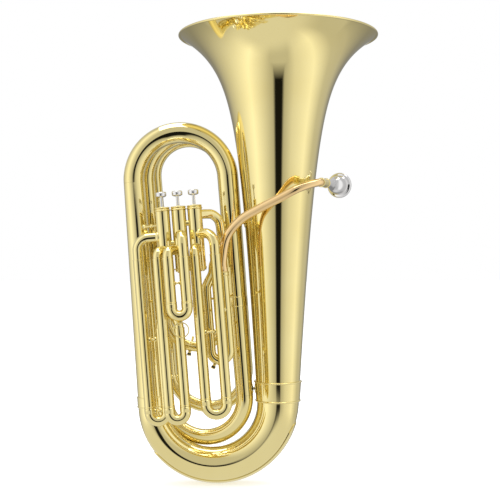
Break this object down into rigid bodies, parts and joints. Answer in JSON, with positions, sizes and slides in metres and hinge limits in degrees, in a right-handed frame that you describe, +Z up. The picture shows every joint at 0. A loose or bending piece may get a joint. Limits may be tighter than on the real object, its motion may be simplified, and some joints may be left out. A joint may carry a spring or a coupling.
{
  "type": "tuba",
  "caption": "Upright tuba with top-action piston valves, a wide flared bell, nested bows, pull slides, water keys and a removable mouthpiece.",
  "frame": {"origin": "lowest point of the bottom bow, where the tuba rests in a lap or a stand", "axes": "+Z up along the bell's axis, -Y the side of the valve slides, +X towards the mouthpiece"},
  "size_m": [0.4717, 0.3698, 0.8315],
  "materials": {
    "lacquered_brass": "mirror polished under clear lacquer",
    "rose_brass": "mirror polished under clear lacquer",
    "silver_plate": "mirror polished plate",
    "spring_steel": "bright drawn wire",
    "black_cork": "matt"
  },
  "bodies": {
    "horn": {"bell": "lacquered_brass", "bell_rim_wire": "lacquered_brass", "bell_ferrule": "lacquered_brass", "bottom_bow": "lacquered_brass", "bow_guard": "lacquered_brass", "bow_ferrule": "lacquered_brass", "first_branch": "lacquered_brass", "top_bow": "lacquered_brass", "second_branch": "lacquered_brass", "second_branch_ferrule": "lacquered_brass", "second_branch_lower": "lacquered_brass", "second_bottom_bow": "lacquered_brass", "third_branch": "lacquered_brass", "second_top_bow": "lacquered_brass", "fourth_branch": "lacquered_brass", "third_bottom_bow": "lacquered_brass", "fifth_branch": "lacquered_brass", "third_top_bow": "lacquered_brass", "sixth_branch": "lacquered_brass", "tuning_sleeves": "lacquered_brass", "valve_outlet": "lacquered_brass", "valve_casings": "lacquered_brass", "valve_top_caps": "lacquered_brass", "valve_bottom_caps": "lacquered_brass", "valve_knuckles": "lacquered_brass", "slide_1_ports": "lacquered_brass", "slide_1_sleeves": "lacquered_brass", "slide_2_ports": "lacquered_brass", "slide_2_sleeves": "lacquered_brass", "slide_3_ports": "lacquered_brass", "slide_3_sleeves": "lacquered_brass", "slide_3_link_bow": "lacquered_brass", "leadpipe": "rose_brass", "mouthpiece_receiver": "lacquered_brass", "leadpipe_crook": "lacquered_brass", "leadpipe_riser": "lacquered_brass", "body_braces": "lacquered_brass", "leadpipe_key_saddle": "lacquered_brass", "valve_spring_1": "spring_steel", "valve_spring_2": "spring_steel", "valve_spring_3": "spring_steel"},
    "valve_1": {"piston_1": "silver_plate", "finger_button_1": "silver_plate"},
    "valve_2": {"piston_2": "silver_plate", "finger_button_2": "silver_plate"},
    "valve_3": {"piston_3": "silver_plate", "finger_button_3": "silver_plate"},
    "first_slide": {"slide_1": "lacquered_brass"},
    "second_slide": {"slide_2": "lacquered_brass"},
    "pull_ring": {"slide_2_pull_ring": "lacquered_brass"},
    "third_slide_outer": {"slide_3_outer": "lacquered_brass"},
    "third_slide_inner": {"slide_3_inner": "lacquered_brass"},
    "main_tuning_slide": {"tuning_slide": "lacquered_brass", "tuning_key_saddle": "lacquered_brass"},
    "leadpipe_key": {"leadpipe_water_key": "lacquered_brass", "leadpipe_key_cork": "black_cork"},
    "tuning_key": {"tuning_water_key": "lacquered_brass", "tuning_key_cork": "black_cork"},
    "mouthpiece_body": {"mouthpiece": "silver_plate"}
  },
  "joints": [
    {"name": "valve_1_press", "type": "slide", "parent": "horn", "child": "valve_1", "axis": [0.0785, 0, -0.9969], "range_m": [0, 0.017], "stiffness_N_per_m": 110, "springref_m": -0.03, "deforming": ["valve_spring_1"]},
    {"name": "valve_2_press", "type": "slide", "parent": "horn", "child": "valve_2", "axis": [0.0785, 0, -0.9969], "range_m": [0, 0.017], "stiffness_N_per_m": 110, "springref_m": -0.03, "deforming": ["valve_spring_2"]},
    {"name": "valve_3_press", "type": "slide", "parent": "horn", "child": "valve_3", "axis": [0.0785, 0, -0.9969], "range_m": [0, 0.017], "stiffness_N_per_m": 110, "springref_m": -0.03, "deforming": ["valve_spring_3"]},
    {"name": "first_slide_pull", "type": "slide", "parent": "horn", "child": "first_slide", "axis": [0.0785, 0, -0.9969], "range_m": [0, 0.12]},
    {"name": "second_slide_pull", "type": "slide", "parent": "horn", "child": "second_slide", "axis": [0.0785, 0, -0.9969], "range_m": [0, 0.045]},
    {"name": "pull_ring_swing", "type": "hinge", "parent": "second_slide", "child": "pull_ring", "pos_m": [-0.05583, -0.112, 0.306], "axis": [-0.9969, 0, -0.0785], "range_deg": [-12, 85]},
    {"name": "third_slide_outer_pull", "type": "slide", "parent": "horn", "child": "third_slide_outer", "axis": [0.0785, 0, -0.9969], "range_m": [0, 0.09]},
    {"name": "third_slide_inner_pull", "type": "slide", "parent": "horn", "child": "third_slide_inner", "axis": [0.0785, 0, -0.9969], "range_m": [0, 0.09]},
    {"name": "main_tuning_slide_pull", "type": "slide", "parent": "horn", "child": "main_tuning_slide", "axis": [0.0785, 0, -0.9969], "range_m": [0, 0.045]},
    {"name": "leadpipe_key_press", "type": "hinge", "parent": "horn", "child": "leadpipe_key", "pos_m": [0.00568, -0.051, 0.23634], "axis": [0.9171, 0, -0.3987], "range_deg": [0, 20], "stiffness_Nm_per_rad": 0.02, "springref_deg": -28.65},
    {"name": "tuning_key_press", "type": "hinge", "parent": "main_tuning_slide", "child": "tuning_key", "pos_m": [-0.04568, 0.032, 0.25276], "axis": [0.9799, 0, -0.1994], "range_deg": [0, 20], "stiffness_Nm_per_rad": 0.02, "springref_deg": -28.65},
    {"name": "mouthpiece_pull", "type": "slide", "parent": "horn", "child": "mouthpiece_body", "axis": [0.4384, 0.8988, 0], "range_m": [0, 0.05]}
  ]
}
